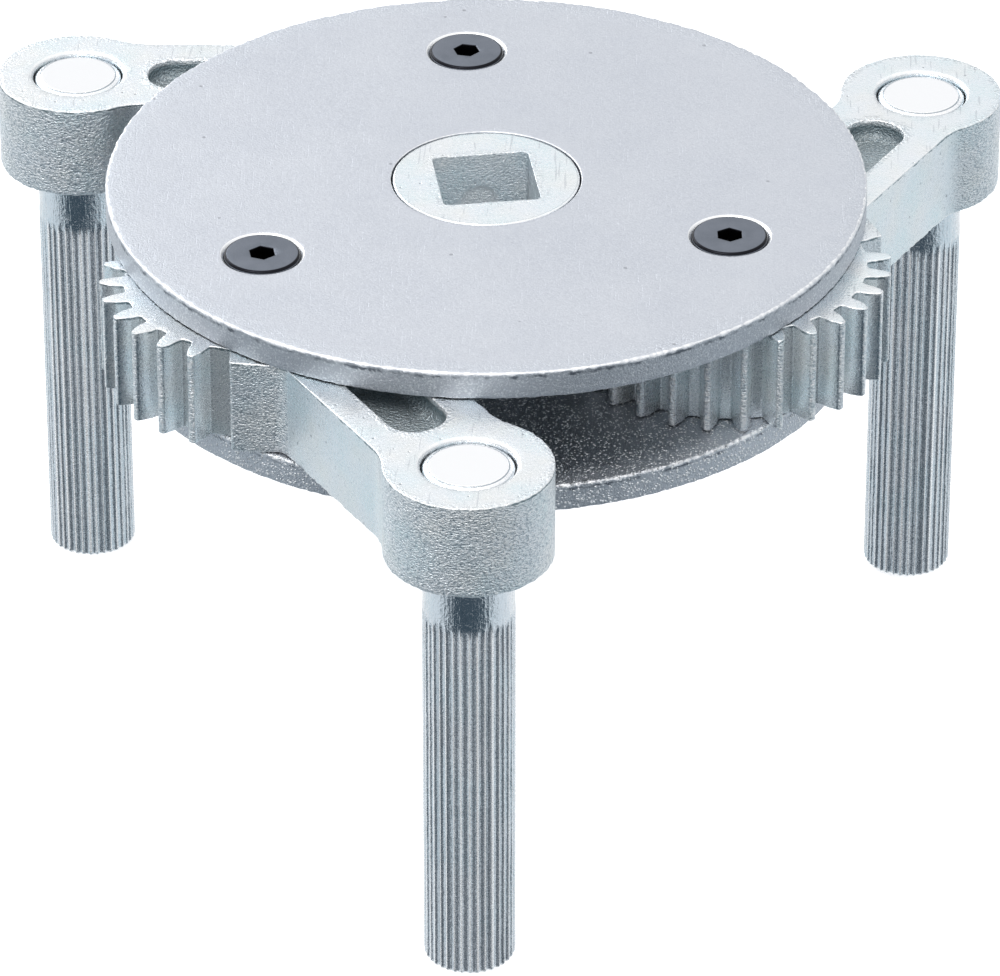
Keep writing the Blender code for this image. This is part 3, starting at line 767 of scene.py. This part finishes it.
def make_arm(i, reach, turn):
    node = f"gear_arm_{i + 1}"
    low, high = heights_of(node)
    seed = 41 + 10 * i
    skin = Skin()

    def forged(x, y):
        """How coarse the skin is: most at the boss and on the lands beside the teeth."""
        boss = np.clip((x - (reach - 8 * MM)) / (5 * MM), 0, 1)
        land = np.clip(1 - np.abs(np.hypot(x, y) - LAND_R - 1.5 * MM) / (3.5 * MM), 0, 1)
        land *= (x > LAND_R * math.cos(LAND_ANGLE) - MM) & (np.abs(y) > NECK_HALF)
        tips = (np.hypot(x, y) > TIP_R - 0.1 * MM) & (x < LAND_R * math.cos(LAND_ANGLE))
        return np.clip(boss + land + 0.9 * tips + 0.08, 0, 1)

    def dents(points):
        coarse = ripple(points, 1.1 * MM, seed) * 0.028 * MM
        uneven_by = coarse + ripple(points, 4 * MM, seed + 1) * 0.03 * MM - 0.05 * MM
        return uneven_by * (0.25 + 0.75 * forged(points[:, 0], points[:, 1]))

    def tooth_shade_and_glints(points):
        """Painted shade, darker down in the spaces between the teeth, and painted glints as bright
        specks on their tips.
        """
        from_tip = (TIP_R - np.hypot(points[:, 0], points[:, 1])) / TOOTH_DEPTH
        among_teeth = points[:, 0] < LAND_R * math.cos(LAND_ANGLE)
        specks = np.clip(3 * ripple(points, 0.5 * MM, seed + 7), 0, 0.9) * (from_tip < 0.12)
        return (specks - np.clip(0.3 * from_tip, 0, 0.3)) * among_teeth

    outline = arm_outline(reach)
    top_edge = uneven(len(outline), 0.5 * ARM_EDGE, 1.7 * ARM_EDGE, seed + 2, reach=1)
    plain = np.clip((outline[:, 0] - LAND_R * math.cos(LAND_ANGLE) - 1.5 * MM) / (2 * MM), 0, 1)
    bottom_edge = uneven(len(outline), 0.6, 1.2, seed + 3, reach=1)
    bottom_edge *= ARM_EDGE + (ARM_LOWER_EDGE - ARM_EDGE) * plain
    # The outline's edges are painted bright as rubbed metal and highlight, with painted shade under the
    # upper edge and between the teeth.
    outside = edged_wall(skin, outline, high, low, top_edge, bottom_edge, push=dents, under_edge_shade=1.0,
                         rough=forged(outline[:, 0], outline[:, 1]), shade=tooth_shade_and_glints)
    bore = circle(BORE_R)
    bore_edge = np.full(len(bore), 0.2 * MM)
    bores = edged_wall(skin, bore, high, low, bore_edge, bore_edge, side=-1)
    hole = circle(PIN_HOLE_R, (reach, 0))
    chamfer = uneven(len(hole), 0.9 * PIN_HOLE_CHAMFER, 1.05 * PIN_HOLE_CHAMFER, seed + 4)
    holes = edged_wall(skin, hole, high, low, chamfer, chamfer * 0.3, side=-1)

    pockets = []
    for face, down in ((high, -1), (low, 1)):
        pocket = rounded_box((POCKET_END_X - POCKET_START_X) / 2, POCKET_HALF, POCKET_CORNER,
                             (POCKET_START_X + POCKET_END_X) / 2)
        away = outward(pocket)
        # The pocket's lip is painted bright as a highlight, its walls dark as painted shade.
        steps = [(POCKET_LIP * (1 - math.sin(a)), POCKET_LIP * (1 - math.cos(a)), math.sin(2 * a))
                 for a in np.linspace(0, math.pi / 2, 4)]
        floor_start = POCKET_DEPTH - POCKET_FLOOR_ROUND
        steps += [(-POCKET_WALL_INSET / 2, floor_start * 0.6, -0.9)]
        for a in np.linspace(0, math.pi / 2, 7):
            steps.append((-POCKET_WALL_INSET - POCKET_FLOOR_ROUND * (1 - math.cos(a)),
                          floor_start + POCKET_FLOOR_ROUND * math.sin(a), -0.8 + 0.2 * math.sin(a)))
        rings = [skin.ring(pocket + away * out, face + down * deep, wear_and_painted_light, POCKET_ROUGH)
                 for out, deep, wear_and_painted_light in steps]
        skin.wall(rings)
        pockets.append(rings[0])
        floor = face + down * POCKET_DEPTH
        # The pocket's floor is painted dark as shade.
        skin.fill(rings[-1], [], floor, 0.9 * MM, 0.04 * MM, seed, wear_and_painted_light=-0.6, rough=POCKET_ROUGH)
    skin.fill(outside[0], [bores[0], holes[0], pockets[0]], high, ARM_GRID, 0.02 * MM, seed)
    skin.fill(outside[1], [bores[1], holes[1], pockets[1]], low, ARM_GRID, 0.02 * MM, seed + 5)
    piece = skin.build(node + "_shown", zinc(f"arm_zinc_{i + 1}", seed), pivots[i], turn)
    show(piece, node, f"arm_{i + 1}")


def make_leg(i, place, turn):
    """Drawn rod with a plain neck above rolled flutes, and a turned pin that stands in the boss."""
    node = f"leg_pin_{i + 1}"
    low, high = heights_of(node)
    neck_top = heights_of("gear_arm_1")[0] - SEAT_GAP
    flute_top = neck_top - LEG_NECK
    seed = 71 + 10 * i
    rng = np.random.default_rng(seed)
    count = FLUTES * FLUTE_POINTS
    angles = np.arange(count) * math.tau / count
    around = np.stack([np.cos(angles), np.sin(angles)], 1)

    # Wide grooves, each with its own width, place, depth and start, leave narrow ridges between.
    across = (np.arange(count) % FLUTE_POINTS) / FLUTE_POINTS
    flute = np.arange(count) // FLUTE_POINTS
    width = rng.uniform(0.27, 0.4, FLUTES)[flute]
    centre = rng.uniform(0.44, 0.56, FLUTES)[flute]
    depth = rng.uniform(0.55, 1.0, FLUTES)[flute] * FLUTE_DEPTH
    start = rng.uniform(0.2, 0.9, FLUTES)[flute] * MM
    groove = smooth((width + 0.14 - np.abs(across - centre)) / 0.34)
    # Painted shade: some grooves darker, and dark lines along their edges.
    shade = (0.35 * rng.uniform(0, 1, FLUTES) ** 2)[flute]
    line = smooth(1 - np.abs(np.abs(across - centre) - width) / 0.1)
    line = line * rng.uniform(0.1, 0.95, FLUTES)[flute]

    skin = Skin()
    rings = []

    def add(radius, height, wear_and_painted_light=None):
        """A ring of the leg, with the flutes pressed in where it is below their start."""
        run = smooth((flute_top + start - height) / FLUTE_RUN_OUT)
        wander = np.column_stack([around * 2, np.full(count, height / (9 * MM))])
        swell = (LEG_R - LEG_NECK_R) * smooth((flute_top + start + MM - height) / (1.8 * MM))
        deep = depth * (1 + 0.25 * ripple(wander, 1, seed))
        radii = radius - (LEG_R - LEG_NECK_R) + swell - groove * run * deep
        # Ridges painted bright as highlights, grooves darker as painted shade.
        shown = run * ((1 - groove) ** 1.6 * 0.85 - groove * shade - line) if wear_and_painted_light is None else wear_and_painted_light
        rings.append(skin.ring(around * radii[:, None], height, shown, run))

    # The pin's end is a flat disc inside a sharp bevel. The disc is painted near white, partly as a
    # smooth turned face and partly as a painted highlight, and the bevel's rings bright and dark as
    # painted highlights and painted shade.
    disc = PIN_JOURNAL_R - PIN_CHAMFER
    slope = PIN_CHAMFER / 2
    pin_steps = [(disc - 0.25 * MM, 0, 1), (disc, 0, 1), (disc + 0.05 * MM, 0.03 * MM, -1)]
    pin_steps += [(disc + 0.16 * MM, 0.09 * MM, -0.8), (disc + 0.24 * MM, 0.13 * MM, 0.5)]
    pin_steps += [(disc + 0.5 * MM, 0.27 * MM, 0.2)]
    pin_steps += [(PIN_JOURNAL_R - 0.12 * MM, slope - 0.06 * MM, -0.8)]
    pin_steps += [(PIN_JOURNAL_R, slope + 0.04 * MM, 0), (PIN_JOURNAL_R, 1.2 * MM, -1)]
    for radius, drop, wear_and_painted_light in pin_steps:
        rings.append(skin.ring(around * radius, high - drop, wear_and_painted_light))
    rings.append(skin.ring(around * PIN_JOURNAL_R, neck_top + 0.02 * MM))
    rings.append(skin.ring(around * (LEG_NECK_R - 0.1 * MM), neck_top))
    # A bright ring painted at the shoulder as a highlight.
    add(LEG_R, neck_top - 0.1 * MM, 0.6)
    for height in np.linspace(neck_top - 0.6 * MM, flute_top + 1.8 * MM, NECK_ROWS):
        add(LEG_R, height)
    for height in np.linspace(flute_top + 1.6 * MM, flute_top - 2.4 * MM, RUN_OUT_ROWS):
        add(LEG_R, height)
    for height in np.linspace(flute_top - 3 * MM, low + FOOT_CHAMFER + 0.1 * MM, SHANK_ROWS):
        add(LEG_R, height)
    # The foot's chamfer is painted bright as a highlight.
    for a in np.linspace(0, math.pi / 2, 5):
        add(LEG_R - FOOT_CHAMFER * (1 - math.cos(a)), low + FOOT_CHAMFER * (1 - math.sin(a)),
            0.8 * math.sin(2 * a))
    skin.wall(rings)
    skin.fill(rings[0], [], high, LEG_GRID, 0.0, seed, wear_and_painted_light=1.0)
    skin.fill(rings[-1], [], low, LEG_GRID)
    piece = skin.build(node + "_shown", leg_zinc(f"leg_zinc_{i + 1}", seed), place, turn)
    show(piece, node, f"arm_{i + 1}")


def make_screw(node, face, up, turn, seed):
    """Countersunk screw with a hexagon socket; up is -1 for one driven from below."""
    skin = Skin()
    ring = circle(1.0, points=SCREW_POINTS)
    angles = np.arange(SCREW_POINTS) * math.tau / SCREW_POINTS
    to_flat = (angles + math.pi / 6) % (math.pi / 3) - math.pi / 6
    hexagon = ring * (HEX_ACROSS_FLATS / 2 / np.cos(to_flat))[:, None]
    proud, edge = SCREW_PROUD, SCREW_EDGE
    # The head's rounding, and a ring under it, are painted near black as a dark reflection.
    steps = [(SCREW_HEAD_R - edge * (1 - math.sin(a)), proud - edge * (1 - math.cos(a)), math.sin(2 * a))
             for a in np.linspace(0, math.pi / 2, 6)]
    land = proud - edge - 0.1 * MM
    cone = SCREW_HEAD_R - SHANK_R
    tip = land - SHANK_LENGTH
    steps += [(SCREW_HEAD_R, land, 0.3), (SHANK_R, land - cone, 0)]
    steps += [(SHANK_R, tip, 0), (SHANK_R - 0.4 * MM, tip - 0.4 * MM, 0)]
    rings = [skin.ring(ring * r, face + up * h, wear_and_painted_light) for r, h, wear_and_painted_light in steps]
    skin.wall(rings)
    lip = HEX_LIP / HEX_ACROSS_FLATS
    # The socket's walls and floor are painted near black as shade.
    hole_steps = [(1 + 2 * lip, 0, 0), (1 + 0.5 * lip, 0.3 * HEX_LIP, 1), (1, HEX_LIP, 1)]
    hole_steps += [(1, HEX_DEPTH * 0.5, 1), (1, HEX_DEPTH, 1), (0.6, HEX_DEPTH * 1.2, 1)]
    hole = [skin.ring(hexagon * s, face + up * (proud - d), wear_and_painted_light) for s, d, wear_and_painted_light in hole_steps]
    skin.wall(hole)
    skin.fill(rings[0], [hole[0]], face + up * proud, SCREW_GRID)
    skin.fill(hole[-1], [], face + up * (proud - HEX_DEPTH * 1.2), 0.5 * MM, wear_and_painted_light=1.0)
    skin.fill(rings[-1], [], face + up * (tip - 0.4 * MM), SCREW_GRID)
    piece = skin.build(node + "_shown", black_oxide(node + "_oxide", seed), middle_of(node), turn)
    show(piece, node, "housing")


joint_places = {joint["name"]: joint["pos_m"] for joint in frame["joints"]}
axis = np.array(joint_places["hub_turn"][:2])
pivots = [np.array(joint_places[f"arm_swing_{k + 1}"][:2]) for k in range(3)]

make_plate("top_plate", True, *TOP_FINISH, 11)
make_plate("bottom_plate", False, *BOTTOM_FINISH_AND_GLINTS, 21)
make_hub()
top_face = heights_of("top_plate")[1]
bottom_face = heights_of("bottom_plate")[0]
for k in range(3):
    leg = middle_of(f"leg_pin_{k + 1}")
    towards = np.array(leg[:2]) - pivots[k]
    swing = math.atan2(towards[1], towards[0])
    make_arm(k, float(np.hypot(*towards)), swing)
    make_leg(k, leg, swing)
    make_screw(f"top_screw_{k + 1}", top_face, 1, 0.35 + 0.9 * k, 91 + k)
    make_screw(f"bottom_screw_{k + 1}", bottom_face, -1, 0.7 * k, 96 + k)
    post = frame["nodes"][f"pivot_post_{k + 1}"]
    post.data.materials.clear()
    post.data.materials.append(turned_steel(f"post_steel_{k + 1}", 5 + k))


# ---------------------------------------------------------------- floor, light and camera

# Colours of the world by direction
GROUND = (0.61, 0.69, 0.745)
DARK_PATCH = (0.045, 0.068, 0.09)
BACKDROP = (0.95, 0.97, 0.98)
HORIZON = (0.46, 0.49, 0.52)
SKY = (0.94, 0.95, 0.97)
ZENITH = (1.07, 1.07, 1.07)

FLOOR_HALF = 3.0
AZIMUTH = math.radians(2.68)
ELEVATION = math.radians(29.454)
DISTANCE = 1.0077
LENS = 274.1
AIM_RIGHT = 0.00177
AIM_DOWN = 0.0407


def floor_paint(name, colour, glow):
    """A matt white with a faint glow."""
    material = bpy.data.materials.new(name)
    material.use_nodes = True
    shader = material.node_tree.nodes["Principled BSDF"]
    shader.inputs["Base Color"].default_value = (*colour, 1)
    shader.inputs["Roughness"].default_value = 1.0
    shader.inputs["Emission Color"].default_value = (1, 1, 1, 1)
    shader.inputs["Emission Strength"].default_value = glow
    shader.inputs["Specular IOR Level"].default_value = 0.0
    return material


def make_floor():
    half = FLOOR_HALF
    mesh = bpy.data.meshes.new("floor")
    corners = [(-half, -half, 0.0), (half, -half, 0.0), (half, half, 0.0), (-half, half, 0.0)]
    mesh.from_pydata(corners, [], [(0, 1, 2, 3)])
    mesh.materials.append(floor_paint("floor_white", (0.93, 0.93, 0.93), 0.45))
    floor = bpy.data.objects.new("floor", mesh)
    bpy.context.scene.collection.objects.link(floor)
    # Bright metal needs some contrast round it, so it reflects the studio's ground and not the floor.
    floor.visible_glossy = False
    floor.visible_shadow = False


def area_light(name, place, target, size, power, colour):
    light = bpy.data.lights.new(name, "AREA")
    light.shape = "RECTANGLE"
    light.size, light.size_y = size
    light.energy = power
    light.color = colour
    lamp = bpy.data.objects.new(name, light)
    lamp.location = place
    lamp.rotation_euler = (Vector(target) - Vector(place)).to_track_quat("-Z", "Y").to_euler()
    bpy.context.scene.collection.objects.link(lamp)


def studio_colour(tree):
    """The studio's colour by direction: a pale dome, a dim horizon, a grey ground, dark in front."""
    w = Nodes(tree)
    direction = w.node("ShaderNodeTexCoord").outputs["Generated"]
    x, y, z = w.node("ShaderNodeSeparateXYZ", {"Vector": direction}).outputs
    sideways = w.node("ShaderNodeMath", {0: x}, operation="ABSOLUTE").outputs[0]
    in_front = w.joined(w.between(y, -0.15, -0.3), w.between(sideways, 0.74, 0.64), "MULTIPLY")
    ground = w.mixed(in_front, GROUND, DARK_PATCH)
    ground = w.mixed(w.between(y, 0.25, 0.75), ground, BACKDROP)
    sky = w.mixed(w.between(z, 0.08, 0.4), HORIZON, SKY)
    dome = w.mixed(w.between(z, 0.4, 0.85), sky, ZENITH)
    return w.mixed(w.between(z, -0.1, 0.02), ground, dome)


def make_studio():
    world = bpy.data.worlds.new("studio")
    bpy.context.scene.world = world
    world.use_nodes = True
    tree = world.node_tree
    tree.links.new(studio_colour(tree), tree.nodes["Background"].inputs["Color"])
    area_light("key", (-0.25, -0.35, 0.9), (0, 0, 0.06), (0.5, 0.5), 3, (1.0, 0.99, 0.98))
    area_light("rim", (-0.6, 0.65, 0.55), (0, 0, 0.06), (0.7, 0.4), 3, (0.96, 0.98, 1.0))


def make_camera():
    target = Vector((*axis, heights_of("top_plate")[1]))
    back = Vector((math.sin(AZIMUTH) * math.cos(ELEVATION), -math.cos(AZIMUTH) * math.cos(ELEVATION),
                   math.sin(ELEVATION)))
    right = Vector((math.cos(AZIMUTH), math.sin(AZIMUTH), 0))
    up = back.cross(right)
    look = -back + right * AIM_RIGHT - up * AIM_DOWN
    data = bpy.data.cameras.new("camera")
    data.lens = LENS
    data.sensor_width = 36
    data.clip_start = 0.05
    camera = bpy.data.objects.new("camera", data)
    camera.location = target + back * DISTANCE
    camera.rotation_euler = look.to_track_quat("-Z", "Y").to_euler()
    bpy.context.scene.collection.objects.link(camera)
    bpy.context.scene.camera = camera


make_floor()
make_studio()
make_camera()
bpy.context.scene.view_settings.view_transform = "Standard"
